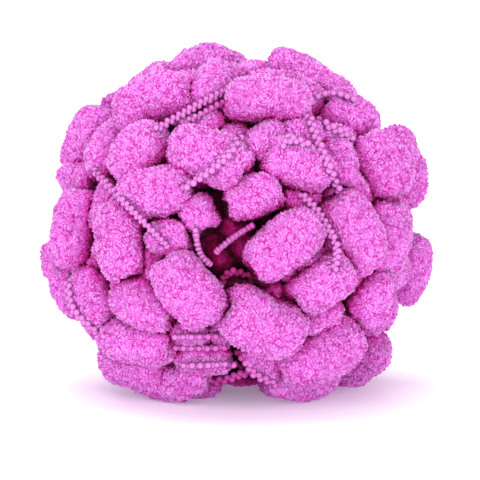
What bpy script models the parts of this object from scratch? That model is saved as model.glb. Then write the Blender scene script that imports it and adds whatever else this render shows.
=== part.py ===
"""A wound ball of pompom yarn: plump pile barrels on a thin two-ply thread, wound round and round."""

import math
import random

import bmesh
import bpy
from mathutils import Matrix, Vector
from mathutils.bvhtree import BVHTree

MM = 0.001

# Driving sizes, in millimetres
SHELL_RADIUS = 64.0  # the pompoms' middles lie on this sphere, about the ball's middle
BALL_HEIGHT = 57.6  # the ball's middle above the surface it rests on
CORE_RADIUS = 56.5  # the wound mass under the outer pompoms
CORE_SIDES = 16
CORE_FOOT = 5.7  # the core's flat underside above the floor
THREAD_WIDTH = 3.4
THREAD_RISE = 1.0  # how far a thread's middle lies above what it crosses
THREAD_STEP = 4.5  # between the points of a thread's run
POMPOM_LENGTH = 31.0
POMPOM_GIRTH = 19.0
LOW_LENGTH = 25.0  # a pompom of the layer below, which shows in a gap
LOW_GIRTH = 16.0
LOW_DROP = 8.0
PLUMP = 1.08  # how far the soft pile swells past the girths in the table
SKIN_FACES = 9000  # what the joined skin is thinned to before its foot is trimmed
FLOOR_SQUASH = 0.78  # the share of a pompom's half girth left under its middle on the floor
BARREL_SIDES = 8
BARREL_RINGS = 6
BARREL_POWER = 0.62  # 1 gives an ellipsoid and less gives squarer shoulders
BARREL_BEND = 75.0  # the radius that a pompom bends to along the ball
STEEPEST_LEAN = 0.9
EDGE_ON = 0.05  # a way that faces the front less than this is left without a lean
LONGEST_POMPOM = 36.0
HOLLOW_DEPTH = 27.0
HOLLOW_SIDES, HOLLOW_RINGS = 14, 8
OPEN_MIDDLE = (-3, -6, 18)  # across, up and radius of where the outer pompoms leave a gap
OPEN_FOOT = (2, -58, 20)
OPEN_MARGIN = 8.0  # how much wider the open middle is in the layer below
OPEN_BEHIND = -0.3  # the gaps reach to here, along the way the front faces
MIDDLE_SHIFT = (-0.3, 2.0)  # brings the middle of the ball's outline to the origin

# The front is laid out as seen from this far above level, in millimetres from the ball's middle
FRONT_TILT = math.radians(8.0)
ACROSS = Vector((1.0, 0.0, 0.0))
UP = Vector((0.0, math.sin(FRONT_TILT), math.cos(FRONT_TILT)))
OUT = Vector((0.0, -math.cos(FRONT_TILT), math.sin(FRONT_TILT)))

# Pompoms of the front: across, up, turn (degrees from across), length, girth, rise above the shell
FRONT_POMPOMS = (
    # left side
    (-60.5, 4, 85, 33, 18, 0),
    (-42.5, -1, 99, 32, 18.5, 1),
    (-55, 37, 66, 29.5, 19.5, -2),
    (-35.5, 31, 50, 27, 20.5, 0),
    (-42.5, 50.3, 10, 16, 12, -16),
    (-59, 22, 0, 15, 13, -6),
    (-29, 17, 10, 29, 19, 0),
    (-24, 0, 0, 17, 15, -4),
    (-34, -24, 150, 26, 18, -1),
    (-53, -23, 128, 25, 18, 0),
    (-63.2, -20.5, 112, 22.5, 14, -8),
    (-69, -8.5, 90, 17, 12, -14),
    (-51, -33.5, 138, 16, 11, -8),
    # top
    (-31, 51, 19, 32, 20, 4),
    (-27.5, 60, 15, 26, 14, -10),
    (-14, 68, 20, 20, 13, -22),
    (-3, 66, -35, 20, 13, -24),
    (-11, 65, 3, 27, 14, -8),
    (-9, 56, 65, 21, 15, -2),
    (0, 61, 0, 13, 11, -5),
    (6, 63, 0, 15, 11, -10),
    (12, 51, -2, 35, 19, 4),
    (24.5, 60.8, -30, 30, 18, 0),
    (26, 61.5, -35, 24, 14, -14),
    (38.5, 54, -40, 20, 14, -4),
    (43.5, 48, -55, 21, 13, -14),
    (42.5, 45, -40, 24, 18.5, 0),
    # middle
    (-10, 30, -20, 32, 20, 3),
    (-13, 8.7, 115, 16.5, 13.8, -4),
    (6, 15, 22, 24, 16, -3),
    (11, 35, 50, 19, 15, -4),
    (24, 38, 0, 19, 12, -3),
    (23, 27, -22, 28, 18, 1),
    (23, 14, 0, 18, 12, -8),
    (36, 37, -20, 16, 12, -4),
    (38, 27, 100, 21, 14, -3),
    (18, -2, 38, 33, 19, 2),
    (-17.5, -19, 130, 33, 21, 4),
    # right side
    (54, 27, 115, 28, 22, 3),
    (56.5, 0, 85, 30, 17, 1),
    (62, 6, 90, 20, 11, -10),
    (63, 27.3, 102, 30, 19, -22),
    (66, -12, 78, 30, 18, -22),
    (44, 2, 116, 31, 19, 2),
    (50, -22, 60, 24, 17, -1),
    (52.5, -28, 62, 22, 12, -6),
    (31.5, -17, 33, 27, 18, 3),
    (25, -11, 35, 24, 13, -5),
    (35, -5, 100, 17, 12, -7),
    (30, -30, 15, 21, 13, -5),
    # foot
    (-37, -38, -13, 35, 18, 0),
    (-37.5, -48.5, -12, 35, 17, 2),
    (-16, -51.5, -10, 15, 11, -1),
    (-26, -53, -4, 35, 15, 0),
    (-16, -34, 0, 17, 12, -6),
    (-12, -44, 0, 24, 13, -6),
    (10, -31.5, 157, 32.5, 23, 3),
    (11, -45, -45, 18, 13, -7),
    (31, -43, 28, 37, 21, 2),
    (46.5, -47.3, 33, 34, 17, -8),
    (26.5, -53.5, 4, 32, 14.5, 0),
)

# Runs of thread over the front: how far below the shell it may sink, then points as across and up
FRONT_THREADS = (
    (20, (-53, 25), (-44, 16), (-33, 5), (-25, -3)),
    (20, (-29, 40), (-16, 48), (-5, 54)),
    (20, (-25, 41), (-16, 44), (-5, 50)),
    (20, (2, 38), (-3, 30), (-10, 24), (-19, 18)),
    (1, (-14.8, 3), (-13.9, -3), (-12.4, -6.7), (-9.5, -9.7)),
    (4, (6, 4.5), (-1, 0), (-7, -5)),
    (20, (24, 16), (30.5, 9), (35.5, 0), (37, -5), (36, -11.5)),
    (20, (27, 45), (30, 36), (34, 26), (38, 17)),
    (20, (28, 45), (37, 40), (44, 36)),
    (20, (29, 50.5), (32, 53.5), (38, 54), (44, 52)),
    (20, (17, 34), (21, 36), (26, 34)),
    (20, (-63, -14), (-61, -26), (-52, -35)),
    (20, (-22, -36.5), (-6, -36)),
    (20, (-22, -40.7), (-12, -40.7), (-3, -40.3)),
    (20, (-19, -47.3), (-10, -47), (-3, -46.5), (3, -48)),
    (20, (-9, -54.7), (-3, -53.2), (4, -50), (6.5, -47)),
    (20, (0, -42), (2.5, -46), (5, -50.5)),
)

# The sides, back, underside and gaps are filled by rule
SEED = 8
RULE_SPOTS = 1300
RULE_HEADINGS = 8
SIDE_DROP, BACK_DROP = 5.0, 1.0  # how far inside the shell the rule's pompoms lie
BACK_FROM = -0.45  # toward the front, as a share of the radius
FRONT_FROM, FOOT_BELOW = 0.30, -0.62
CLOSEST = 0.80  # how near two pompoms come, as a share of their mean girth
CLOSEST_LOW = 0.62
SIZE_SPREAD = 0.08
THREAD_SHORTEST, THREAD_LONGEST = 9.0, 30.0
RULE_THREADS = 14
THREADS_BEHIND = -0.45  # the rule's threads stay this far round to the back
THREAD_ENTRY = 0.45  # where a thread enters a pompom, as a share of its length from its middle
THREAD_SINK = 32.0  # how far below the shell the rule's threads may lie
TAUTNESS = 40
SLACK = 0.02  # what each point of a taut thread may lie deeper than its neighbours' mean
FAR_OUT = 3 * SHELL_RADIUS  # where the rays that find the surface start
MERGED = 1e-3  # points nearer than this are one


def clear_scene():
    for obj in list(bpy.data.objects):
        bpy.data.objects.remove(obj, do_unlink=True)


def collection(name):
    made = bpy.data.collections.new(name)
    bpy.context.scene.collection.children.link(made)
    return made


def pile_material():
    material = bpy.data.materials.new("chenille_pile")
    material.use_nodes = True
    shader = material.node_tree.nodes["Principled BSDF"]
    shader.inputs["Base Color"].default_value = (0.72, 0.16, 0.66, 1.0)
    shader.inputs["Roughness"].default_value = 0.95
    shader.inputs["Metallic"].default_value = 0.0
    return material


def frame_of(middle, axis, outward):
    """The matrix with X along a pompom, Z away from the ball and its origin at the middle."""
    x = axis.normalized()
    z = (outward - outward.dot(x) * x).normalized()
    y = z.cross(x)
    matrix = Matrix((x, y, z)).transposed().to_4x4()
    matrix.translation = middle
    return matrix


def settled(middle, girth):
    """The middle raised to where the pompom rests on the floor, and the way out of the ball there."""
    lowest = -BALL_HEIGHT + FLOOR_SQUASH * girth / 2
    if middle.z >= lowest:
        return middle, middle.normalized()
    return Vector((middle.x, middle.y, lowest)), Vector((0.0, 0.0, -1.0))


def front_pompoms():
    """Each front pompom as (frame, length, girth), lying along the shell."""
    placed = []
    for across, up, turn, length, girth, rise in FRONT_POMPOMS:
        depth = math.sqrt(max(SHELL_RADIUS**2 - across**2 - up**2, 0.0)) + rise
        middle, outward = settled(across * ACROSS + up * UP + depth * OUT, girth)
        flat = math.cos(math.radians(turn)) * ACROSS + math.sin(math.radians(turn)) * UP
        facing = outward.dot(OUT)
        lean = -flat.dot(outward) / facing if abs(facing) > EDGE_ON else 0.0
        lean = max(-STEEPEST_LEAN, min(STEEPEST_LEAN, lean))
        length = min(length * math.sqrt(1 + lean * lean), LONGEST_POMPOM)
        frame = frame_of(middle, flat + lean * OUT, outward)
        placed.append((frame, length, girth * PLUMP))
    return placed


def spine(frame, length, girth):
    """The two ends of the line that a pompom's round middle runs along."""
    half = frame.col[0].to_3d() * max(length - girth, 1.0) / 2
    return frame.translation - half, frame.translation + half


def spines_apart(first, second):
    """The distance between two short lines, close enough for packing."""
    steps = (0.0, 0.25, 0.5, 0.75, 1.0)
    return min(
        (first[0].lerp(first[1], s) - second[0].lerp(second[1], t)).length
        for s in steps
        for t in steps
    )


def tightest(placed, spot, length, girth, closest, turned):
    """The frame of a pompom at this spot that lies nearest its neighbours and clear of them, or None."""
    middle, outward = settled(spot, girth)
    side = outward.orthogonal().normalized()
    near = [p for p in placed if (p[0].translation - middle).length < 2 * POMPOM_LENGTH]
    best, best_gap = None, None
    for k in range(RULE_HEADINGS):
        heading = Matrix.Rotation(turned + k * math.pi / RULE_HEADINGS, 3, outward) @ side
        frame = frame_of(middle, heading, outward)
        line = spine(frame, length, girth)
        gaps = [spines_apart(line, spine(*p)) - closest * (p[2] + girth) / 2 for p in near]
        if min(gaps, default=1.0) < 0:
            continue
        gap = sum(sorted(gaps)[:3])
        if best is None or gap < best_gap:
            best, best_gap = frame, gap
    return best


def spiral():
    """Directions spread evenly round the ball, from the front to the back."""
    golden = math.pi * (3 - math.sqrt(5))
    for i in range(RULE_SPOTS):
        facing = 1 - 2 * (i + 0.5) / RULE_SPOTS
        ring = math.sqrt(1 - facing * facing)
        yield ring * math.cos(golden * i) * ACROSS + ring * math.sin(golden * i) * UP + facing * OUT


def in_the_open(way, place, margin=0.0):
    across, up, radius = place
    flat = Vector((way.dot(ACROSS), way.dot(UP))) * SHELL_RADIUS
    return way.dot(OUT) > OPEN_BEHIND and (flat - Vector((across, up))).length < radius + margin


def upper_drop(way):
    """How far inside the shell an outer pompom lies this way, or None where it has none."""
    facing = way.dot(OUT)
    if facing > FRONT_FROM and way.z > FOOT_BELOW:
        return None
    if in_the_open(way, OPEN_MIDDLE) or in_the_open(way, OPEN_FOOT):
        return None
    return SIDE_DROP if facing > BACK_FROM else BACK_DROP


def lower_drop(way):
    """The same for the layer below, which is deeper in the open middle."""
    if in_the_open(way, OPEN_FOOT):
        return None
    return LOW_DROP * (2 if in_the_open(way, OPEN_MIDDLE, OPEN_MARGIN) else 1)


def rule_pompoms(placed, rng):
    """Pompoms that fill the rest of the shell, then smaller ones in the gaps one layer down."""
    layers = (
        (upper_drop, POMPOM_LENGTH, POMPOM_GIRTH, CLOSEST),
        (lower_drop, LOW_LENGTH, LOW_GIRTH, CLOSEST_LOW),
    )
    added = []
    for drop_of, length, girth, closest in layers:
        for way in spiral():
            size = 1 + rng.uniform(-SIZE_SPREAD, SIZE_SPREAD)
            turned = rng.uniform(0, math.pi)
            drop = drop_of(way)
            if drop is None:
                continue
            spot = way * (SHELL_RADIUS - drop)
            frame = tightest(placed + added, spot, length * size, girth * size, closest, turned)
            if frame:
                added.append((frame, length * size, girth * size))
    return added


def barrel(name, frame, length, girth):
    """A rounded barrel that bends along the ball, from a sphere whose rings are pushed square."""
    mesh = bpy.data.meshes.new(name)
    bm = bmesh.new()
    bmesh.ops.create_uvsphere(bm, u_segments=BARREL_SIDES, v_segments=BARREL_RINGS, radius=1.0)
    for vert in bm.verts:
        along = max(-1.0, min(1.0, vert.co.z))
        round_part = math.sqrt(1 - along * along)
        x = length / 2 * math.copysign(abs(along) ** BARREL_POWER, along)
        swell = girth / 2 * round_part**BARREL_POWER / max(round_part, 1e-6)
        y, z = vert.co.x * swell, vert.co.y * swell
        vert.co = frame @ Vector((x, y, z - x * x / (2 * BARREL_BEND)))
    bm.to_mesh(mesh)
    bm.free()
    return bpy.data.objects.new(name, mesh)


def smooth_run(points):
    """A curve through the points, with a point every THREAD_STEP."""
    ends = [2 * points[0] - points[1], *points, 2 * points[-1] - points[-2]]
    run = []
    for a, b, c, d in zip(ends, ends[1:], ends[2:], ends[3:]):
        steps = max(1, round((c - b).length / THREAD_STEP))
        for k in range(steps):
            t = k / steps
            run.append(
                0.5
                * (
                    2 * b
                    + (c - a) * t
                    + (2 * a - 5 * b + 4 * c - d) * t * t
                    + (3 * b - a - 3 * c + d) * t**3
                )
            )
    return run + [points[-1]]


def draped(rays, tree):
    """Points where a taut thread lies on the ball, one on each ray of (start, way in, deepest)."""
    reach = []
    for start, way, deepest in rays:
        _, _, _, distance = tree.ray_cast(start, way)
        reach.append((deepest if distance is None else min(distance, deepest)) - THREAD_RISE)
    for _ in range(TAUTNESS):
        for i in range(1, len(reach) - 1):
            reach[i] = min(reach[i], (reach[i - 1] + reach[i + 1]) / 2 + SLACK)
    return [start + way * far for (start, way, _), far in zip(rays, reach)]


def front_thread_runs(tree):
    runs = []
    for sink, *points in FRONT_THREADS:
        rays = []
        for flat in smooth_run([across * ACROSS + up * UP for across, up in points]):
            depth = math.sqrt(max(SHELL_RADIUS**2 - flat.length_squared, 0.0))
            rays.append((flat + FAR_OUT * OUT, -OUT, FAR_OUT - depth + sink))
        runs.append(draped(rays, tree))
    return runs


def rule_thread_runs(pompoms, tree):
    """Threads that leave one pompom's end and enter the next, over the sides and back."""
    ends = []
    for number, (frame, length, girth) in enumerate(pompoms):
        reach = frame.col[0].to_3d() * length * THREAD_ENTRY
        ends += [(number, frame.translation + reach), (number, frame.translation - reach)]
    pairs = sorted(
        ((a[1] - b[1]).length, i, j)
        for i, a in enumerate(ends)
        for j, b in enumerate(ends)
        if i < j and a[0] != b[0]
    )
    used, joined, runs = set(), set(), []
    deepest = FAR_OUT - SHELL_RADIUS + THREAD_SINK
    for gap, i, j in pairs:
        pair = (ends[i][0], ends[j][0])
        facing = (ends[i][1] + ends[j][1]).normalized().dot(OUT)
        if not THREAD_SHORTEST <= gap <= THREAD_LONGEST or facing > THREADS_BEHIND:
            continue
        if {i, j} & used or pair in joined:
            continue
        used |= {i, j}
        joined.add(pair)
        steps = max(3, round(gap / THREAD_STEP))
        ways = [ends[i][1].lerp(ends[j][1], k / steps).normalized() for k in range(steps + 1)]
        runs.append(draped([(w * FAR_OUT, -w, deepest) for w in ways], tree))
    runs.sort(key=lambda run: -(run[0] - run[-1]).length)
    return runs[:RULE_THREADS]


def thread(name, run):
    """A thread's run as a closed tube."""
    curve = bpy.data.curves.new(name, "CURVE")
    curve.dimensions = "3D"
    curve.bevel_depth = THREAD_WIDTH / 2
    curve.bevel_resolution = 0
    curve.use_fill_caps = True
    spline = curve.splines.new("POLY")
    spline.points.add(len(run) - 1)
    for point, place in zip(spline.points, run):
        point.co = (*place, 1.0)
    bent = bpy.data.objects.new(name + "_curve", curve)
    bpy.context.scene.collection.objects.link(bent)
    graph = bpy.context.evaluated_depsgraph_get()
    mesh = bpy.data.meshes.new_from_object(bent.evaluated_get(graph))
    bpy.data.objects.remove(bent)
    bm = bmesh.new()
    bm.from_mesh(mesh)
    bmesh.ops.remove_doubles(bm, verts=bm.verts, dist=MERGED)
    bm.to_mesh(mesh)
    bm.free()
    return bpy.data.objects.new(name, mesh)


def tree_of(objects):
    points, faces = [], []
    for obj in objects:
        first = len(points)
        points += [v.co.copy() for v in obj.data.vertices]
        faces += [[first + i for i in face.vertices] for face in obj.data.polygons]
    return BVHTree.FromPolygons(points, faces)


def core():
    """The wound mass under the pompoms: a ball with a flat foot."""
    mesh = bpy.data.meshes.new("core")
    bm = bmesh.new()
    bmesh.ops.create_uvsphere(
        bm, u_segments=CORE_SIDES, v_segments=CORE_SIDES // 2, radius=CORE_RADIUS
    )
    for vert in bm.verts:
        vert.co.z = max(vert.co.z, -BALL_HEIGHT + CORE_FOOT)
    bmesh.ops.remove_doubles(bm, verts=bm.verts, dist=MERGED)
    bm.to_mesh(mesh)
    bm.free()
    return bpy.data.objects.new("yarn_ball", mesh)


def hollow():
    """What is cut from the core where the threads cross the open middle of the front."""
    across, up, radius = OPEN_MIDDLE
    mesh = bpy.data.meshes.new("hollow")
    bm = bmesh.new()
    bmesh.ops.create_uvsphere(bm, u_segments=HOLLOW_SIDES, v_segments=HOLLOW_RINGS, radius=1.0)
    depth = math.sqrt(SHELL_RADIUS**2 - across**2 - up**2)
    frame = frame_of(across * ACROSS + up * UP + depth * OUT, ACROSS, OUT)
    for vert in bm.verts:
        x, y, z = vert.co
        vert.co = frame @ Vector((x * radius, y * radius, z * HOLLOW_DEPTH))
    bm.to_mesh(mesh)
    bm.free()
    return bpy.data.objects.new("hollow", mesh)


def floor_block():
    """Trims the pressed pompoms flush, so that the ball stands on small flats."""
    bpy.ops.mesh.primitive_cube_add(size=4 * SHELL_RADIUS * MM)
    block = bpy.context.object
    block.name = "floor_block"
    block.location.z = -2 * SHELL_RADIUS * MM
    return block


def as_helper(obj, home):
    for owner in list(obj.users_collection):
        owner.objects.unlink(obj)
    home.objects.link(obj)
    obj.hide_render = True
    obj.display_type = "WIRE"


def add_boolean(obj, name, operation, other=None, group=None):
    modifier = obj.modifiers.new(name, "BOOLEAN")
    modifier.operation = operation
    modifier.solver = "EXACT"
    if group:
        modifier.operand_type = "COLLECTION"
        modifier.collection = group
    else:
        modifier.object = other


def add_thinning(obj):
    """Merges the slivers that joining leaves where pompoms meet, down to SKIN_FACES."""
    modifier = obj.modifiers.new("thinning", "DECIMATE")
    modifier.ratio = min(1.0, SKIN_FACES / len(obj.data.polygons))
    modifier.use_collapse_triangulate = True


def bake(obj):
    """Swaps the object's mesh for what its modifiers make of it."""
    bpy.context.view_layer.update()
    graph = bpy.context.evaluated_depsgraph_get()
    mesh = bpy.data.meshes.new_from_object(obj.evaluated_get(graph))
    obj.modifiers.clear()
    obj.data = mesh


def keep_outer_skin(mesh):
    """Drops the pockets sealed between neighbouring pompoms, and leaves one closed skin."""
    bm = bmesh.new()
    bm.from_mesh(mesh)
    left, shells = set(bm.faces), []
    while left:
        start = left.pop()
        shell, ahead = [start], [start]
        while ahead:
            for edge in ahead.pop().edges:
                for face in edge.link_faces:
                    if face in left:
                        left.remove(face)
                        shell.append(face)
                        ahead.append(face)
        shells.append(shell)
    outer = max(shells, key=lambda shell: sum(face.calc_area() for face in shell))
    inner = [face for shell in shells if shell is not outer for face in shell]
    bmesh.ops.delete(bm, geom=inner, context="FACES")
    bmesh.ops.dissolve_degenerate(bm, edges=bm.edges, dist=MERGED)
    bmesh.ops.triangulate(bm, faces=bm.faces)
    bm.to_mesh(mesh)
    bm.free()


def build():
    clear_scene()
    part = collection("pompom_yarn_ball")
    wound = collection("wound_pieces")
    cutters = collection("cutters")
    rng = random.Random(SEED)

    front = front_pompoms()
    others = rule_pompoms(front, rng)
    pieces = [barrel(f"pompom_{i:03d}", *place) for i, place in enumerate(front + others)]
    tree = tree_of(pieces)
    runs = front_thread_runs(tree) + rule_thread_runs(others, tree)
    pieces += [thread(f"thread_{i:02d}", run) for i, run in enumerate(runs)]
    for piece in pieces:
        as_helper(piece, wound)

    ball = core()
    part.objects.link(ball)
    hole = hollow()
    as_helper(hole, cutters)
    add_boolean(ball, "hollow", "DIFFERENCE", other=hole)
    add_boolean(ball, "wound", "UNION", group=wound)
    bake(ball)
    keep_outer_skin(ball.data)

    place = Matrix.Translation(Vector((*MIDDLE_SHIFT, BALL_HEIGHT)) * MM)
    ball.data.transform(place @ Matrix.Scale(MM, 4))
    add_thinning(ball)
    block = floor_block()
    as_helper(block, cutters)
    add_boolean(ball, "floor", "DIFFERENCE", other=block)
    ball.data.materials.clear()
    ball.data.materials.append(pile_material())
    ball.data.shade_smooth()
    print(len(front), "front pompoms,", len(others), "others,", len(runs), "threads")


build()
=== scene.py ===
import math
import random
import bmesh
import bpy
import numpy as np
from mathutils import Matrix, Vector, noise
from mathutils.bvhtree import BVHTree


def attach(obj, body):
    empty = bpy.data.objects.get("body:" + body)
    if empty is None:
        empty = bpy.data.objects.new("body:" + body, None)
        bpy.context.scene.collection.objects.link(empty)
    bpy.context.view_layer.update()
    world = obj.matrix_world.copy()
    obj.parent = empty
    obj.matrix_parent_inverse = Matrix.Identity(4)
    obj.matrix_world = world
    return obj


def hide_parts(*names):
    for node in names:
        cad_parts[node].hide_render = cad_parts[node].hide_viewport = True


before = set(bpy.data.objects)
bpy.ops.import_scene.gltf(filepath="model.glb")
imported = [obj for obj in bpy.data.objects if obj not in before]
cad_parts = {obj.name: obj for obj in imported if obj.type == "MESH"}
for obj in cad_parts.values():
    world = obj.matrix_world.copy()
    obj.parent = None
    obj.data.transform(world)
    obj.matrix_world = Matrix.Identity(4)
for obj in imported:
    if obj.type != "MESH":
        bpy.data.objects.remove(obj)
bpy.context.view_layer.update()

mm = 0.001

# the ball, in millimetres from its middle; the solids are laid out with the same values
ball = {
    "shellRadius": 64.0,      # the pompoms' middles lie on this sphere
    "middleHeight": 57.6,     # above the surface that it rests on
    "middleShift": (-0.3, 2.0),
    "coreRadius": 53.0,
    "coreDent": 27.0,         # how deep the open middle of the front goes
    "frontTilt": 8.0,         # degrees above level that the front was laid out from
    "pompomLength": 31.0,
    "pompomGirth": 19.0,
    "lowLength": 25.0,        # a pompom of the layer below, which shows in a gap
    "lowGirth": 16.0,
    "lowDrop": 8.0,
    "plump": 1.08,
    "floorSquash": 0.78,
    "barrelPower": 0.62,      # 1 is an ellipsoid, less has squarer shoulders
    "barrelBend": 75.0,
    "steepestLean": 0.9,
    "edgeOn": 0.05,           # a pompom that faces the front less than this isn't leaned
    "longestPompom": 36.0,
    "openMiddle": (-3, -6, 18),    # across, up and radius of where the outer pompoms leave a gap
    "openFoot": (2, -58, 20),
}

# how the sides, back, underside and gaps are wound by rule
winding = {
    "seed": 8,
    "spots": 1300,            # places tried in each layer, from the front to the back
    "headings": 8,            # ways to lie that are tried at each
    "sideDrop": 5.0,          # how far under the shell the pompoms of the sides lie
    "backDrop": 1.0,
    "backFrom": -0.45,        # a way out of 1 faces the front, of -1 the back
    "frontFrom": 0.30,        # from here on the table has the pompoms, but for those underneath
    "footBelow": -0.62,
    "openMargin": 8.0,        # how much wider the open middle is in the layer below
    "openBehind": -0.3,       # the gaps reach to here, along the way the front faces
    "closest": 0.80,          # share of two pompoms' mean girth
    "closestLow": 0.62,
    "sizeSpread": 0.08,
}

tilt = math.radians(ball["frontTilt"])
acrossWay = Vector((1, 0, 0))
upWay = Vector((0, math.sin(tilt), math.cos(tilt)))
outWay = Vector((0, -math.cos(tilt), math.sin(tilt)))

# pompoms of the front: across, up, turn (degrees from across), length, girth, rise above the shell
frontTable = (
    # left side
    (-60.5, 4, 85, 33, 18, 0),
    (-42.5, -1, 99, 32, 18.5, 1),
    (-55, 37, 66, 29.5, 19.5, -2),
    (-35.5, 31, 50, 27, 20.5, 0),
    (-42.5, 50.3, 10, 16, 12, -16),
    (-59, 22, 0, 15, 13, -6),
    (-29, 17, 10, 29, 19, 0),
    (-24, 0, 0, 17, 15, -4),
    (-34, -24, 150, 26, 18, -1),
    (-53, -23, 128, 25, 18, 0),
    (-63.2, -20.5, 112, 22.5, 14, -8),
    (-69, -8.5, 90, 17, 12, -14),
    (-51, -33.5, 138, 16, 11, -8),
    # top
    (-31, 51, 19, 32, 20, 4),
    (-27.5, 60, 15, 26, 14, -10),
    (-14, 68, 20, 20, 13, -22),
    (-3, 66, -35, 20, 13, -24),
    (-11, 65, 3, 27, 14, -8),
    (-9, 56, 65, 21, 15, -2),
    (0, 61, 0, 13, 11, -5),
    (6, 63, 0, 15, 11, -10),
    (12, 51, -2, 35, 19, 4),
    (24.5, 60.8, -30, 30, 18, 0),
    (26, 61.5, -35, 24, 14, -14),
    (38.5, 54, -40, 20, 14, -4),
    (43.5, 48, -55, 21, 13, -14),
    (42.5, 45, -40, 24, 18.5, 0),
    # middle
    (-10, 30, -20, 32, 20, 3),
    (-13, 8.7, 115, 16.5, 13.8, -4),
    (6, 15, 22, 24, 16, -3),
    (11, 35, 50, 19, 15, -4),
    (24, 38, 0, 19, 12, -3),
    (23, 27, -22, 28, 18, 1),
    (23, 14, 0, 18, 12, -8),
    (36, 37, -20, 16, 12, -4),
    (38, 27, 100, 21, 14, -3),
    (18, -2, 38, 33, 19, 2),
    (-17.5, -19, 130, 33, 21, 4),
    # right side
    (54, 27, 115, 28, 22, 3),
    (56.5, 0, 85, 30, 17, 1),
    (62, 6, 90, 20, 11, -10),
    (63, 27.3, 102, 30, 19, -22),
    (66, -12, 78, 30, 18, -22),
    (44, 2, 116, 31, 19, 2),
    (50, -22, 60, 24, 17, -1),
    (52.5, -28, 62, 22, 12, -6),
    (31.5, -17, 33, 27, 18, 3),
    (25, -11, 35, 24, 13, -5),
    (35, -5, 100, 17, 12, -7),
    (30, -30, 15, 21, 13, -5),
    # foot
    (-37, -38, -13, 35, 18, 0),
    (-37.5, -48.5, -12, 35, 17, 2),
    (-16, -51.5, -10, 15, 11, -1),
    (-26, -53, -4, 35, 15, 0),
    (-16, -34, 0, 17, 12, -6),
    (-12, -44, 0, 24, 13, -6),
    (10, -31.5, 157, 32.5, 23, 3),
    (11, -45, -45, 18, 13, -7),
    (31, -43, 28, 37, 21, 2),
    (46.5, -47.3, 33, 34, 17, -8),
    (26.5, -53.5, 4, 32, 14.5, 0),
)

# runs of thread over the front: how far below the shell each may sink, the roll of its plies in
# degrees (0 side by side, 90 one behind the other), how loose they are (1 shows round beads, 0.6
# fine ribs), then points as across and up. A negative sink lies that deep under all it meets
threadTable = (
    (20, 0, 0.8, (-53, 25), (-44, 16), (-33, 5), (-25, -3)),
    (20, 0, 0.85, (-29, 40), (-16, 48), (-5, 54)),
    (20, 20, 0.85, (-25, 41), (-16, 44), (-5, 50)),
    (20, 10, 1, (2, 38), (-3, 30), (-10, 24), (-19, 18)),
    (1, 90, 0.6, (-14.8, 3), (-13.9, -3), (-12.4, -6.7), (-9.5, -9.7)),
    (4, 90, 0.6, (6, 4.5), (-1, 0), (-7, -5)),
    (-8, 40, 0.9, (-5.5, -17), (-3, -13.2), (0.5, -12.6), (7, -14.8), (12, -17.6), (16, -17.2)),
    (-10, 60, 0.9, (-3.8, -20.5), (-1.9, -17.3), (1, -16.6), (5.5, -16.6)),
    (20, 0, 0.85, (24, 16), (30.5, 9), (35.5, 0), (37, -5), (36, -11.5)),
    (20, 0, 1, (27, 45), (30, 36), (34, 26), (38, 17)),
    (20, 0, 1, (28, 45), (37, 40), (44, 36)),
    (20, 80, 1, (29, 50.5), (32, 53.5), (38, 54), (44, 52)),
    (20, 0, 1, (17, 34), (21, 36), (26, 34)),
    (20, 0, 1, (-63, -14), (-61, -26), (-52, -35)),
    (20, 90, 1, (-22, -36.5), (-6, -36)),
    (20, 90, 1, (-22, -40.7), (-12, -40.7), (-3, -40.3)),
    (20, 80, 1, (-19, -47.3), (-10, -47), (-3, -46.5), (3, -48)),
    (9, 10, 1, (-9, -54), (-3, -52.6), (3, -50.5), (7.5, -50)),
    (8, 10, 1, (1, -42), (4, -46), (7, -50.5), (12, -53), (15, -54.5)),
)


def toLinear(hexCode):    # "#rrggbb" in sRGB to a linear colour with alpha
    channels = (int(hexCode[i:i + 2], 16) / 255 for i in (1, 3, 5))
    linear = (c / 12.92 if c <= 0.04045 else ((c + 0.055) / 1.055) ** 2.4 for c in channels)
    return (*linear, 1.0)


# settings go to the node's own properties first, then to its inputs by name or number. An input
# takes a value, a socket, a node (its first output is meant) or a list of those to join
def addNode(tree, kind, settings=None):
    node = tree.nodes.new(kind)
    for name, value in (settings or {}).items():
        if name == "stops":    # of a colour ramp, as position and hex colour
            elements = node.color_ramp.elements
            while len(elements) < len(value):
                elements.new(1.0)
            for element, (at, colour) in zip(elements, value):
                element.position = at
                element.color = toLinear(colour)
        elif isinstance(name, str) and hasattr(node, name):
            setattr(node, name, value)
        else:
            for one in value if isinstance(value, list) else [value]:
                source = one.outputs[0] if isinstance(one, bpy.types.Node) else one
                if isinstance(source, bpy.types.NodeSocket):
                    tree.links.new(source, node.inputs[name])
                else:
                    node.inputs[name].default_value = source
    return node


def newMaterial(name, values):    # a material, its tree and its shader, with the values set
    material = bpy.data.materials.new(name)
    material.use_nodes = True
    shader = material.node_tree.nodes["Principled BSDF"]
    for label, value in values.items():
        shader.inputs[label].default_value = value
    return material, material.node_tree, shader


def geometryTree(name, sizes, seed):    # a tree, the identifiers of its inputs and their sockets
    tree = bpy.data.node_groups.new(name, "GeometryNodeTree")
    tree.interface.new_socket("Geometry", in_out="OUTPUT", socket_type="NodeSocketGeometry")
    inputs = [("Geometry", "Geometry", None)] + [(label, "Float", value) for label, value in sizes.items()]
    inputs += [("Seed", "Int", seed), ("Material", "Material", None)]
    names = {}
    for label, kind, value in inputs:
        socket = tree.interface.new_socket(label, in_out="INPUT", socket_type="NodeSocket" + kind)
        if value is not None:
            socket.default_value = value
        names[label] = socket.identifier
    return tree, names, addNode(tree, "NodeGroupInput").outputs


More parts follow.
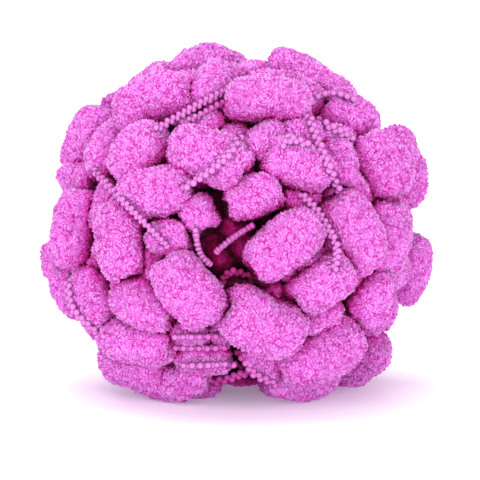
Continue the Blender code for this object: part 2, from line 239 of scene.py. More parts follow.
def finishTree(tree, given, parts):
    joined = addNode(tree, "GeometryNodeJoinGeometry", {"Geometry": parts})
    real = addNode(tree, "GeometryNodeRealizeInstances", {"Geometry": joined})
    # what would reach under the surface that the ball stands on is pressed flat
    place = addNode(tree, "GeometryNodeInputPosition")
    xyz = addNode(tree, "ShaderNodeSeparateXYZ", {0: place}).outputs
    height = addNode(tree, "ShaderNodeMath", {"operation": "MAXIMUM", 0: xyz[2], 1: given["Floor"]})
    pressed = addNode(tree, "ShaderNodeCombineXYZ", {0: xyz[0], 1: xyz[1], 2: height})
    flat = addNode(tree, "GeometryNodeSetPosition", {"Geometry": real, "Position": pressed})
    smooth = addNode(tree, "GeometryNodeSetShadeSmooth", {"Geometry": flat})
    coloured = addNode(tree, "GeometryNodeSetMaterial", {"Geometry": smooth, "Material": given["Material"]})
    addNode(tree, "NodeGroupOutput", {"Geometry": coloured})


def linkedObject(name, mesh):
    made = bpy.data.objects.new(name, mesh)
    bpy.context.scene.collection.objects.link(made)
    return made


def meshOfModifiers(obj, name):    # a plain mesh of what the modifiers make, on a new object
    graph = bpy.context.evaluated_depsgraph_get()
    mesh = bpy.data.meshes.new_from_object(obj.evaluated_get(graph))
    mesh.name = name
    source = obj.data
    bpy.data.objects.remove(obj)
    bpy.data.meshes.remove(source)
    return linkedObject(name, mesh)


# where every pompom lies, as (frame, length, girth), worked out as for the solids
def frameOf(middle, axis, outward):
    x = axis.normalized()
    z = (outward - outward.dot(x) * x).normalized()
    matrix = Matrix((x, z.cross(x), z)).transposed().to_4x4()
    matrix.translation = middle
    return matrix


def settled(middle, girth):    # raised to rest on the floor, and the way out of the ball there
    lowest = -ball["middleHeight"] + ball["floorSquash"] * girth / 2
    if middle.z >= lowest:
        return middle, middle.normalized()
    return Vector((middle.x, middle.y, lowest)), Vector((0, 0, -1))


def frontPompoms():
    placed = []
    for across, up, turn, length, girth, rise in frontTable:
        depth = math.sqrt(max(ball["shellRadius"] ** 2 - across ** 2 - up ** 2, 0)) + rise
        middle, outward = settled(across * acrossWay + up * upWay + depth * outWay, girth)
        flat = math.cos(math.radians(turn)) * acrossWay + math.sin(math.radians(turn)) * upWay
        facing = outward.dot(outWay)
        lean = -flat.dot(outward) / facing if abs(facing) > ball["edgeOn"] else 0
        lean = max(-ball["steepestLean"], min(ball["steepestLean"], lean))
        length = min(length * math.sqrt(1 + lean * lean), ball["longestPompom"])
        placed.append((frameOf(middle, flat + lean * outWay, outward), length, girth * ball["plump"]))
    return placed


def spine(pompom):    # the ends of the line down a pompom's middle
    place, length, girth = pompom
    half = place.col[0].to_3d() * max(length - girth, 1) / 2
    return place.translation - half, place.translation + half


def spinesApart(first, second):
    steps = (0, 0.25, 0.5, 0.75, 1)
    return min((first[0].lerp(first[1], s) - second[0].lerp(second[1], t)).length
               for s in steps for t in steps)


def tightest(placed, spot, length, girth, closest, turned):
    middle, outward = settled(spot, girth)
    side = outward.orthogonal().normalized()
    near = [p for p in placed if (p[0].translation - middle).length < 2 * ball["pompomLength"]]
    best, bestGap = None, None
    for k in range(winding["headings"]):
        turn = turned + k * math.pi / winding["headings"]
        tried = (frameOf(middle, Matrix.Rotation(turn, 3, outward) @ side, outward), length, girth)
        line = spine(tried)
        gaps = [spinesApart(line, spine(p)) - closest * (p[2] + girth) / 2 for p in near]
        if min(gaps, default=1) < 0:
            continue
        gap = sum(sorted(gaps)[:3])
        if best is None or gap < bestGap:
            best, bestGap = tried, gap
    return best


def inTheOpen(way, place, margin=0):
    across, up, radius = place
    flat = Vector((way.dot(acrossWay), way.dot(upWay))) * ball["shellRadius"]
    isFront = way.dot(outWay) > winding["openBehind"]
    return isFront and (flat - Vector((across, up))).length < radius + margin


def upperDrop(way):
    facing = way.dot(outWay)
    if facing > winding["frontFrom"] and way.z > winding["footBelow"]:
        return None
    if inTheOpen(way, ball["openMiddle"]) or inTheOpen(way, ball["openFoot"]):
        return None
    return winding["sideDrop"] if facing > winding["backFrom"] else winding["backDrop"]


def lowerDrop(way):
    if inTheOpen(way, ball["openFoot"]):
        return None
    return ball["lowDrop"] * (2 if inTheOpen(way, ball["openMiddle"], winding["openMargin"]) else 1)


def rulePompoms(placed, rng):
    golden = math.pi * (3 - math.sqrt(5))
    layers = (
        (upperDrop, ball["pompomLength"], ball["pompomGirth"], winding["closest"]),
        (lowerDrop, ball["lowLength"], ball["lowGirth"], winding["closestLow"]),
    )
    added = []
    for dropOf, length, girth, closest in layers:
        for i in range(winding["spots"]):
            facing = 1 - 2 * (i + 0.5) / winding["spots"]
            ring = math.sqrt(1 - facing * facing)
            way = (ring * math.cos(golden * i) * acrossWay + ring * math.sin(golden * i) * upWay
                   + facing * outWay)
            size = 1 + rng.uniform(-winding["sizeSpread"], winding["sizeSpread"])
            turned = rng.uniform(0, math.pi)
            drop = dropOf(way)
            if drop is None:
                continue
            spot = way * (ball["shellRadius"] - drop)
            found = tightest(placed + added, spot, length * size, girth * size, closest, turned)
            if found:
                added.append(found)
    return added


front = frontPompoms()
others = rulePompoms(front, random.Random(winding["seed"]))
pompoms = front + others
print("laid out", len(pompoms), "pompoms")

# the tufts' bodies: lumpy barrels a pile's height inside the pompoms, which carry the pile
body = {
    "sides": 20,
    "rings": 17,
    "profileSteps": 400,
    "pileHeight": 1.0,        # from the body to the tips of the pile
    "lumps": ((9.0, 1.6), (4.2, 0.8)),    # how uneven a hand-wound tuft is: size across, height
    "lumpStep": (13.7, 5.1),  # so that no two tufts have the same lumps
    "endDimple": 2.8,         # the swirl where the thread enters an end
    "endDimpleWidth": 3.2,
    "buried": 1.2,            # deeper than this inside a neighbour has no pile
    "buriedInCore": 1.0,      # and deeper than this inside the ball's heart
    "leastOpen": 0.001,       # for a place that shows but has no open way out
    "lookouts": ((6, 35.0), (8, 68.0)),    # ways tried from each point for open air: number, lean
    "lookoutReach": 60.0,
    "fades": (50.0, 65.0),    # from the ball's middle: nearer than the first no light comes
    "sectors": 6,             # pieces round the ball, so that none is too heavy
    "firstSector": 0.25,      # where they start, as a share of a turn
}
toRow = Matrix.Translation(Vector((*ball["middleShift"], ball["middleHeight"])))


def barrelTemplate():    # share of the half length, ring size and turn of each point, evenly spread
    power = ball["barrelPower"]
    turn = np.linspace(0, math.pi, body["profileSteps"])
    along = np.sign(np.cos(turn)) * np.abs(np.cos(turn)) ** power
    ring = np.sin(turn) ** power
    slim = ball["pompomLength"] / ball["pompomGirth"]
    walked = np.concatenate([[0], np.cumsum(np.hypot(np.diff(along) * slim, np.diff(ring)))])
    stops = np.linspace(0, walked[-1], body["rings"] + 2)
    sides, rings = body["sides"], body["rings"]
    points = [(1.0, 0.0, 0.0)]
    for k in range(1, rings + 1):
        x, r = np.interp(stops[k], walked, along), np.interp(stops[k], walked, ring)
        points += [(x, r, 2 * math.pi * (i + k % 2 / 2) / sides) for i in range(sides)]
    points.append((-1.0, 0.0, 0.0))
    faces = []
    for i in range(sides):
        j = (i + 1) % sides
        faces.append((0, 1 + i, 1 + j))
        last = 1 + (rings - 1) * sides
        faces.append((last + sides, last + j, last + i))
        for k in range(rings - 1):
            near, far = 1 + k * sides, 1 + (k + 1) * sides
            if k % 2:
                faces += [(near + i, far + i, far + j), (near + i, far + j, near + j)]
            else:
                faces += [(near + i, far + i, near + j), (near + j, far + i, far + j)]
    return np.array(points), faces


def bodyPoints(template, pompom, number):    # a pompom's body in millimetres from the ball's middle
    place, length, girth = pompom
    x = (length / 2 - body["pileHeight"]) * template[:, 0]
    ring = (girth / 2 - body["pileHeight"]) * template[:, 1]
    y, z = ring * np.cos(template[:, 2]), ring * np.sin(template[:, 2])
    x -= np.sign(x) * body["endDimple"] * np.exp(-(y ** 2 + z ** 2) / body["endDimpleWidth"] ** 2)
    local = np.stack([x, y, z - x ** 2 / (2 * ball["barrelBend"])], axis=1)
    shift = Vector((number * body["lumpStep"][0], number * body["lumpStep"][1], 0))
    grown = np.array([sum(noise.noise(Vector(p) / size + shift) * height for size, height in body["lumps"])
                      for p in local])
    outward = local / np.maximum(np.linalg.norm(local, axis=1, keepdims=True), 1e-6)
    local = local + outward * grown[:, None]
    turn = np.array(place)
    return local @ turn[:3, :3].T + turn[:3, 3]


def fromSpine(points, pompom):    # from the nearest place on the line down a pompom's middle
    start, end = (np.array(p) for p in spine(pompom))
    line = end - start
    share = np.clip((points - start) @ line / (line @ line), 0, 1)
    return points - start - share[:, None] * line


def waysRound():    # ways spread round +Z, straight out and leaning
    ways = [Vector((0, 0, 1))]
    for count, lean in body["lookouts"]:
        for k in range(count):
            turn = Matrix.Rotation(2 * math.pi * k / count, 3, "Z")
            ways.append(turn @ Matrix.Rotation(math.radians(lean), 3, "Y") @ Vector((0, 0, 1)))
    return ways


lookouts = waysRound()

# this share darkens the pile's and the thread's colour as painted shade in the hollows

def openAt(point, out, tree):    # the share of ways out that nothing blocks, less deep in the ball
    start = point + out
    turn = out.to_track_quat("Z", "Y")
    free = sum(tree.ray_cast(start, turn @ way, body["lookoutReach"])[3] is None for way in lookouts)
    light = float(np.interp(point.length, body["fades"], (0, 1)))
    return max(free / len(lookouts) * light, body["leastOpen"])


def openness(points, number, tree):    # 0 where buried in the heart or a neighbour
    buried = np.linalg.norm(points, axis=1) < ball["coreRadius"] - body["buriedInCore"]
    middle = pompoms[number][0].translation
    for k, other in enumerate(pompoms):
        if k != number and (other[0].translation - middle).length < 2 * ball["pompomLength"]:
            deep = other[2] / 2 - body["buried"] - body["pileHeight"]
            buried |= np.linalg.norm(fromSpine(points, other), axis=1) < deep
    share = np.zeros(len(points))
    for i, out in enumerate(fromSpine(points, pompoms[number])):
        if not buried[i]:
            share[i] = openAt(Vector(points[i]), Vector(out).normalized(), tree)
    return share


def sectorOf(pompom):
    middle = pompom[0].translation
    turn = math.atan2(middle.y, middle.x) / (2 * math.pi) + body["firstSector"]
    return math.floor(turn * body["sectors"]) % body["sectors"]


template, templateFaces = barrelTemplate()
surfaces = [bodyPoints(template, pompom, k) for k, pompom in enumerate(pompoms)]


def treeOfSurfaces():
    points = [Vector(p) for surface in surfaces for p in surface]
    size = len(template)
    faces = [[k * size + i for i in face] for k in range(len(surfaces)) for face in templateFaces]
    return BVHTree.FromPolygons(points, faces)


surfaceTree = treeOfSurfaces()
openTo = [openness(points, k, surfaceTree) for k, points in enumerate(surfaces)]
print("bodies shaped,", sum(int((share > 0).sum()) for share in openTo), "points in the open")


def bodiesMesh(name, numbers):
    points, faces, ids = [], [], []
    for number in numbers:
        first = len(points) * len(template)
        points.append(surfaces[number])
        ids.append(np.full(len(template), float(number)))
        faces += [[first + i for i in face] for face in templateFaces]
    mesh = bpy.data.meshes.new(name)
    inRow = (np.concatenate(points) + np.array(toRow.translation)) * mm
    mesh.from_pydata(inRow.tolist(), [], faces)
    openHere = [openTo[number] for number in numbers]
    showing = [(share > 0).astype(float) for share in openHere]
    for label, values in (("showing", showing), ("open", openHere), ("pompom", ids)):
        mesh.attributes.new(label, "FLOAT", "POINT").data.foreach_set("value", np.concatenate(values))
    mesh.shade_smooth()
    return mesh


# chenille pile: cut polyester microfibre that stands out of the thread, dyed orchid pink. The tips
# are a soft pale pink, and the locks are painted darker down to a deeper magenta at the roots between them,
# as painted shade
pile = {
    "tip": "#c8a0cd",
    "shade": "#c073bf",
    "root": "#ae4098",
    "paintedShadeAt": (0.3, 0.6, 0.9),    # how high in a lock the root, the shade and the tip of its painted shade lie
    "paintedCurlShade": "#e27cc3",     # painted shade, this much darker between two curls of the pile
    # painted shade, this much darker where less of the sky reaches: share of ways out that are open, tint
    "paintedHollowShade": ((0.0, "#24020a"), (0.07, "#50102c"), (0.14, "#a0285e"), (0.22, "#e86cb2"),
                (0.36, "#ffb4e6"), (0.52, "#ffe0f6"), (0.68, "#ffffff")),
    "toneSpread": 0.34,       # how much lighter the lightest lock is than the darkest
    "patchSpread": 0.3,       # and the lightest patch of locks
    "patchSize": 14.0,
    "roughness": 0.95,
    "specular": 0.05,
    "sheen": 0.06,
    "sheenRoughness": 0.5,
    "sheenTint": "#ff98ee",
    "soak": 0.8,              # light soaks sideways through the fibres
    "soakDepth": 2.6,
    "soakWays": (1.0, 0.2, 0.85),    # red and blue farther than green
    "spacing": 0.955,         # between the locks of fibre that the pile parts into
    "tries": 6.0,             # points tried in each spacing square, of which the crowded ones go
    "lockLength": 2.5,
    "lockWidth": 0.95,
    "lockHeight": 1.8,
    "lockSides": 4,
    "lockSizes": (0.8, 1.25),
    "lean": 0.4,
    "combed": 6.0,            # size of the patches in which the locks lie one way
    "combing": 3.0,           # how strongly they do
    "stray": 0.4,             # how far one lock may turn from the others
    "crease": 0.6,            # how deep the parting lines in the pile go
    "creaseSize": 11.0,
    "creaseWidth": 0.03,
    "creaseStep": 3.7,        # so that each pompom has lines of its own
    "curl": 0.45,             # how far the locks between two curls lie below their middles
    "curlLevel": 0.7,         # the share of that at which a lock stays on the body
    "curlSize": 2.1,
    "curlWander": 1.2,
    "curlEdge": 0.22,         # share of a curl's size that its sunken edge takes
    "pitEdge": (0.03, 0.14),  # the same share for the dark line down that edge
    "pitPatch": (0.42, 0.54),    # the line breaks into dashes, where a noise lies above this
    "pitPatchSize": 2.2,
    "softness": 0.6,          # how far a lock is lit as the pile round it, since light soaks through
    "fibre": 0.8,             # between wisps; far coarser than the real fibre, so that it shows
    "fibreBump": 0.55,
    "seed": 4,
}


def pileMaterial():
    material, tree, shader = newMaterial("chenillePolyesterPile", {
        "Roughness": pile["roughness"],
        "Specular IOR Level": pile["specular"],
        "Sheen Weight": pile["sheen"],
        "Sheen Roughness": pile["sheenRoughness"],
        "Sheen Tint": toLinear(pile["sheenTint"]),
        "Subsurface Weight": pile["soak"],
        "Subsurface Radius": pile["soakWays"],
        "Subsurface Scale": pile["soakDepth"] * mm,
    })
    shader.subsurface_method = "BURLEY"
    place = addNode(tree, "ShaderNodeTexCoord").outputs["Object"]
    height, tone, openHere = [addNode(tree, "ShaderNodeAttribute", {"attribute_name": name}).outputs["Fac"]
                              for name in ("lockHeight", "lockTone", "open")]
    # painted shade: a lock is darker towards its root, where less light gets into the pile
    paintedShadeStops = tuple(zip(pile["paintedShadeAt"], (pile["root"], pile["shade"], pile["tip"])))
    lock = addNode(tree, "ShaderNodeValToRGB", {"Fac": height, "stops": paintedShadeStops})
    patches = addNode(tree, "ShaderNodeTexNoise", {
        "Vector": place, "Scale": 1 / (pile["patchSize"] * mm), "Detail": 2.0})
    patchTone = addNode(tree, "ShaderNodeMath", {
        "operation": "MULTIPLY_ADD", 0: patches, 1: pile["patchSpread"], 2: 1 - pile["patchSpread"] / 2})
    lockTone = addNode(tree, "ShaderNodeMath", {
        "operation": "MULTIPLY_ADD", 0: tone, 1: pile["toneSpread"], 2: -pile["toneSpread"] / 2})
    value = addNode(tree, "ShaderNodeMath", {"operation": "ADD", 0: lockTone, 1: patchTone})
    coloured = addNode(tree, "ShaderNodeHueSaturation", {"Value": value, "Color": lock})
    # painted shade in the hollows, darker where fewer ways out are open
    depth = addNode(tree, "ShaderNodeValToRGB", {"Fac": openHere, "stops": pile["paintedHollowShade"]})
    # dashes of painted shade between the curls
    curlScale = 1 / (pile["curlSize"] * mm)
    wander = addNode(tree, "ShaderNodeTexNoise", {"Vector": place, "Scale": curlScale, "Detail": 1.0})
    bent = addNode(tree, "ShaderNodeVectorMath", {
        "operation": "MULTIPLY_ADD", 0: wander.outputs["Color"], 1: (pile["curlWander"] * mm,) * 3, 2: place})
    cells = addNode(tree, "ShaderNodeTexVoronoi", {
        "feature": "DISTANCE_TO_EDGE", "Vector": bent, "Scale": curlScale})
    edge = addNode(tree, "ShaderNodeMapRange", {
        "interpolation_type": "SMOOTHSTEP", 0: cells.outputs["Distance"],
        1: pile["pitEdge"][0], 2: pile["pitEdge"][1], 3: 1.0, 4: 0.0})
    patch = addNode(tree, "ShaderNodeTexNoise", {
        "Vector": place, "Scale": 1 / (pile["pitPatchSize"] * mm), "Detail": 1.0})
    patchy = addNode(tree, "ShaderNodeMapRange", {
        "interpolation_type": "SMOOTHSTEP", 0: patch, 1: pile["pitPatch"][0], 2: pile["pitPatch"][1]})
    pits = addNode(tree, "ShaderNodeMath", {"operation": "MULTIPLY", 0: edge, 1: patchy})
    between = addNode(tree, "ShaderNodeValToRGB", {
        "Fac": pits, "stops": ((0.0, "#ffffff"), (1.0, pile["paintedCurlShade"]))})
    for tint in (depth, between):
        coloured = addNode(tree, "ShaderNodeMix", {
            "data_type": "RGBA", "blend_type": "MULTIPLY", 0: 1.0, 6: coloured, 7: tint}).outputs[2]
    tree.links.new(coloured, shader.inputs["Base Color"])
    fibres = addNode(tree, "ShaderNodeTexNoise", {
        "Vector": place, "Scale": 1 / (pile["fibre"] * mm), "Detail": 3.0, "Roughness": 0.7,
        "Distortion": 0.6})
    way = addNode(tree, "ShaderNodeAttribute", {"attribute_name": "pileWay"}).outputs["Vector"]
    outOfPile = addNode(tree, "ShaderNodeVectorTransform", {
        "vector_type": "NORMAL", "convert_from": "OBJECT", "convert_to": "WORLD", 0: way})
    own = addNode(tree, "ShaderNodeNewGeometry").outputs["Normal"]
    soft = addNode(tree, "ShaderNodeMix", {
        "data_type": "VECTOR", 0: pile["softness"], 4: own, 5: outOfPile}).outputs[1]
    bump = addNode(tree, "ShaderNodeBump", {
        "Strength": pile["fibreBump"], "Distance": pile["fibre"] * mm, "Height": fibres, "Normal": soft})
    tree.links.new(bump.outputs["Normal"], shader.inputs["Normal"])
    return material


def pileTree():    # locks of fibre on points spread over the bodies, sunk along the creases
    tree, names, given = geometryTree("pileLocks", {
        "Spacing": pile["spacing"] * mm,
        "Lock Length": pile["lockLength"] * mm,
        "Lock Width": pile["lockWidth"] * mm,
        "Lock Height": pile["lockHeight"] * mm,
        "Lean": pile["lean"],
        "Combed Size": pile["combed"] * mm,
        "Crease Depth": pile["crease"] * mm,
        "Crease Size": pile["creaseSize"] * mm,
        "Crease Width": pile["creaseWidth"],
        "Curl Height": pile["curl"] * mm,
        "Curl Size": pile["curlSize"] * mm,
        "Curl Wander": pile["curlWander"] * mm,
        "Curl Edge": pile["curlEdge"],
        "Floor": 0.0,
    }, pile["seed"])
    place = addNode(tree, "GeometryNodeInputPosition")
    showing, pompom = [addNode(tree, "GeometryNodeInputNamedAttribute", {"data_type": "FLOAT", "Name": label})
                       for label in ("showing", "pompom")]
    scaleOf = {label: addNode(tree, "ShaderNodeMath", {"operation": "DIVIDE", 0: 1.0, 1: given[label]})
               for label in ("Crease Size", "Curl Size", "Combed Size")}
    square = addNode(tree, "ShaderNodeMath", {
        "operation": "MULTIPLY", 0: given["Spacing"], 1: given["Spacing"]})
    density = addNode(tree, "ShaderNodeMath", {"operation": "DIVIDE", 0: pile["tries"], 1: square})
    spread = addNode(tree, "GeometryNodeDistributePointsOnFaces", {
        "distribute_method": "POISSON", "Mesh": given["Geometry"], "Distance Min": given["Spacing"],
        "Density Max": density, "Density Factor": showing, "Seed": given["Seed"]})
    outward = spread.outputs["Normal"]
    # parting lines where a noise of its own for each pompom crosses its middle value
    ownNoise = addNode(tree, "ShaderNodeMath", {"operation": "MULTIPLY", 0: pompom, 1: pile["creaseStep"]})
    creases = addNode(tree, "ShaderNodeTexNoise", {
        "noise_dimensions": "4D", "Vector": place, "W": ownNoise, "Scale": scaleOf["Crease Size"],
        "Detail": 1.0})
    off = addNode(tree, "ShaderNodeMath", {"operation": "SUBTRACT", 0: creases, 1: 0.5})
    away = addNode(tree, "ShaderNodeMath", {"operation": "ABSOLUTE", 0: off})
    inCrease = addNode(tree, "ShaderNodeMapRange", {
        "interpolation_type": "SMOOTHSTEP", 0: away, 2: given["Crease Width"], 3: 1.0, 4: 0.0})
    # the pile curls into small cells of no regular shape, with sunken edges
    wander = addNode(tree, "ShaderNodeTexNoise", {
        "Vector": place, "Scale": scaleOf["Curl Size"], "Detail": 1.0}).outputs["Color"]
    pushed = addNode(tree, "ShaderNodeVectorMath", {
        "operation": "SCALE", 0: wander, "Scale": given["Curl Wander"]})
    bent = addNode(tree, "ShaderNodeVectorMath", {"operation": "ADD", 0: place, 1: pushed})
    cells = addNode(tree, "ShaderNodeTexVoronoi", {
        "feature": "DISTANCE_TO_EDGE", "Vector": bent, "Scale": scaleOf["Curl Size"]})
    curl = addNode(tree, "ShaderNodeMapRange", {
        "interpolation_type": "SMOOTHSTEP", 0: cells.outputs["Distance"], 2: given["Curl Edge"],
        3: 0.0, 4: 1.0})
    over = addNode(tree, "ShaderNodeMath", {"operation": "SUBTRACT", 0: curl, 1: pile["curlLevel"]})
    rise = addNode(tree, "ShaderNodeMath", {"operation": "MULTIPLY", 0: over, 1: given["Curl Height"]})
    dip = addNode(tree, "ShaderNodeMath", {"operation": "MULTIPLY", 0: inCrease, 1: given["Crease Depth"]})
    level = addNode(tree, "ShaderNodeMath", {"operation": "SUBTRACT", 0: rise, 1: dip})
    sunk = addNode(tree, "ShaderNodeVectorMath", {"operation": "SCALE", 0: outward, "Scale": level})
    facing = addNode(tree, "GeometryNodeStoreNamedAttribute", {
        "data_type": "FLOAT_VECTOR", "domain": "POINT", "Name": "pileWay", "Geometry": spread,
        "Value": outward})
    moved = addNode(tree, "GeometryNodeSetPosition", {"Geometry": facing, "Offset": sunk})
    # a lock of fibre: a small blunt lump, longer along the surface than across it
    lump = addNode(tree, "GeometryNodeMeshUVSphere", {
        "Radius": 0.5, "Segments": pile["lockSides"], "Rings": 2})
    # the height in a lock, which the pile's colour reads for the painted shade at its root
    upright = addNode(tree, "ShaderNodeSeparateXYZ", {0: place}).outputs["Z"]
    high = addNode(tree, "ShaderNodeMath", {"operation": "ADD", 0: upright, 1: 0.5})
    lock = addNode(tree, "GeometryNodeStoreNamedAttribute", {
        "data_type": "FLOAT", "domain": "POINT", "Name": "lockHeight", "Geometry": lump, "Value": high})
    jitter = addNode(tree, "FunctionNodeRandomValue", {
        "data_type": "FLOAT_VECTOR", 0: (-1, -1, -1), "Seed": given["Seed"]})
    leaning = addNode(tree, "ShaderNodeVectorMath", {"operation": "SCALE", 0: jitter, "Scale": given["Lean"]})
    way = addNode(tree, "ShaderNodeVectorMath", {"operation": "ADD", 0: outward, 1: leaning})
    flow = addNode(tree, "ShaderNodeTexNoise", {
        "Vector": place, "Scale": scaleOf["Combed Size"], "Detail": 0.0}).outputs["Color"]
    combed = addNode(tree, "ShaderNodeVectorMath", {
        "operation": "MULTIPLY_ADD", 0: flow, 1: (2 * pile["combing"],) * 3, 2: (-pile["combing"],) * 3})
    strand = addNode(tree, "ShaderNodeVectorMath", {
        "operation": "MULTIPLY_ADD", 0: jitter, 1: (pile["stray"],) * 3, 2: combed})
    along = addNode(tree, "FunctionNodeAlignRotationToVector", {"axis": "X", "Vector": strand})
    turned = addNode(tree, "FunctionNodeAlignRotationToVector", {
        "axis": "Z", "pivot_axis": "AUTO", "Rotation": along, "Vector": way})
    size = addNode(tree, "FunctionNodeRandomValue", {
        "data_type": "FLOAT", 2: pile["lockSizes"][0], 3: pile["lockSizes"][1],
        "Seed": given["Seed"]}).outputs[1]
    sides = [addNode(tree, "ShaderNodeMath", {"operation": "MULTIPLY", 0: given[label], 1: size})
             for label in ("Lock Length", "Lock Width", "Lock Height")]
    scale = addNode(tree, "ShaderNodeCombineXYZ", dict(enumerate(sides)))
    placed = addNode(tree, "GeometryNodeInstanceOnPoints", {
        "Points": moved, "Instance": lock, "Rotation": turned, "Scale": scale})
    nextSeed = addNode(tree, "ShaderNodeMath", {"operation": "ADD", 0: given["Seed"], 1: 1.0})
    tone = addNode(tree, "FunctionNodeRandomValue", {
        "data_type": "FLOAT", 2: 0.0, 3: 1.0, "Seed": nextSeed}).outputs[1]
    toned = addNode(tree, "GeometryNodeStoreNamedAttribute", {
        "data_type": "FLOAT", "domain": "INSTANCE", "Name": "lockTone", "Geometry": placed, "Value": tone})
    # the body under the locks gets the painted shade of the middle of a lock
    under = given["Geometry"]
    for label in ("lockHeight", "lockTone"):
        under = addNode(tree, "GeometryNodeStoreNamedAttribute", {
            "data_type": "FLOAT", "domain": "POINT", "Name": label, "Geometry": under, "Value": 0.5})
    normal = addNode(tree, "GeometryNodeInputNormal")
    under = addNode(tree, "GeometryNodeStoreNamedAttribute", {
        "data_type": "FLOAT_VECTOR", "domain": "POINT", "Name": "pileWay", "Geometry": under,
        "Value": normal})
    finishTree(tree, given, [toned, under])
    return tree, names


chenille = pileMaterial()
pileLocks, pileInputs = pileTree()
pilePieces = []
for sector in range(body["sectors"]):
    numbers = [k for k, pompom in enumerate(pompoms) if sectorOf(pompom) == sector]
    source = linkedObject("bodies", bodiesMesh("bodies", numbers))
    grown = source.modifiers.new("pile", "NODES")
    grown.node_group = pileLocks
    grown[pileInputs["Seed"]] = pile["seed"] + sector
    grown[pileInputs["Material"]] = chenille
    piece = meshOfModifiers(source, f"pompom_pile_{sector + 1}")
    pilePieces.append(piece)
    print(piece.name, len(numbers), "pompoms,", len(piece.data.polygons), "faces")


# binder thread: two plies of polyester twisted hard, so each ply shows as a row of round beads
thread = {
    "light": "#d87ece",
    "side": "#7c2268",        # painted shade where a bead's side faces the pile
    "paintedShadeAt": (0.2, 0.85),    # how far a surface faces out of the ball, for the painted shade of the side and the painted light of the outward face
    "roughness": 0.7,
    "specular": 0.15,
    "sheen": 0.1,
    "fuzz": 0.7,              # size and depth of the loose fibre on the plies
    "fuzzDepth": 0.2,
    "fuzzBump": 0.3,
    "lift": 2.3,              # of the thread's middle above the bodies of the pompoms
    "beadWidth": 2.65,
    "beadStep": 1.4,          # along the run, as seen from the front
    "beadOffset": 0.65,
    "beadSizes": (0.88, 1.12),
    "beadSides": 8,
    "beadRings": 6,
    "heart": 0.8,             # radius of what shows between the beads
    "heartSides": 6,
    "twist": 0.02,            # radians that the plies turn in each millimetre
    "seed": 1,
    "tautness": 130,          # rounds of drawing it straight
    "slack": 0.006,           # what a bead of a taut thread may lie deeper than its neighbours' mean
    "shortest": 9.0,          # of the runs that a rule adds on the back
    "longest": 30.0,
    "ruleRuns": 14,
    "behind": -0.45,
    "ruleSink": 32.0,         # how far under the shell they may sink
    "entry": 0.45,            # of a pompom's length, from its middle to where the thread enters
}


def smoothRun(points, step):
    ends = [2 * points[0] - points[1], *points, 2 * points[-1] - points[-2]]
    run = []
    for a, b, c, d in zip(ends, ends[1:], ends[2:], ends[3:]):
        steps = max(1, round((c - b).length / step))
        for k in range(steps):
            t = k / steps
            run.append(0.5 * (2 * b + (c - a) * t + (2 * a - 5 * b + 4 * c - d) * t * t
                              + (3 * b - a - 3 * c + d) * t ** 3))
    return run + [points[-1]]


def draped(rays, tree):    # points and ways out of a taut thread, one on each ray of (start, way, deepest)
    reach = []
    for start, way, deepest in rays:
        distance = tree.ray_cast(start, way)[3]
        reach.append(deepest if distance is None else min(distance - thread["lift"], deepest))
    for _ in range(thread["tautness"]):
        for i in range(1, len(reach) - 1):
            reach[i] = min(reach[i], (reach[i - 1] + reach[i + 1]) / 2 + thread["slack"])
    return [(start + way * far, -way) for (start, way, _), far in zip(rays, reach)]


def frontRuns(tree):
    runs, high = [], 3 * ball["shellRadius"]
    for sink, roll, loose, *points in threadTable:
        rays = []
        way = [across * acrossWay + up * upWay for across, up in points]
        for flat in smoothRun(way, thread["beadStep"] * loose):
            depth = math.sqrt(max(ball["shellRadius"] ** 2 - flat.length_squared, 0))
            rays.append((flat + high * outWay, -outWay, high - depth + abs(sink)))
        under = [(start + way * far, -way) for start, way, far in rays]
        runs.append((roll, loose, under if sink < 0 else draped(rays, tree)))
    return runs


def ruleRuns(found, tree):
    ends = []
    for number, (place, length, _) in enumerate(found):
        reach = place.col[0].to_3d() * length * thread["entry"]
        ends += [(number, place.translation + reach), (number, place.translation - reach)]
    pairs = sorted(((a[1] - b[1]).length, i, j) for i, a in enumerate(ends)
                   for j, b in enumerate(ends) if i < j and a[0] != b[0])
    used, joined, runs, high = set(), set(), [], 3 * ball["shellRadius"]
    deepest = high - ball["shellRadius"] + thread["ruleSink"]
    for gap, i, j in pairs:
        pair = (ends[i][0], ends[j][0])
        facing = (ends[i][1] + ends[j][1]).normalized().dot(outWay)
        if not thread["shortest"] <= gap <= thread["longest"] or facing > thread["behind"]:
            continue
        if {i, j} & used or pair in joined:
            continue
        used |= {i, j}
        joined.add(pair)
        steps = max(3, round(gap / thread["beadStep"]))
        ways = [ends[i][1].lerp(ends[j][1], k / steps).normalized() for k in range(steps + 1)]
        runs.append((0, 1, draped([(w * high, -w, deepest) for w in ways], tree)))
    runs.sort(key=lambda run: -(run[2][0][0] - run[2][-1][0]).length)
    return runs[:thread["ruleRuns"]]


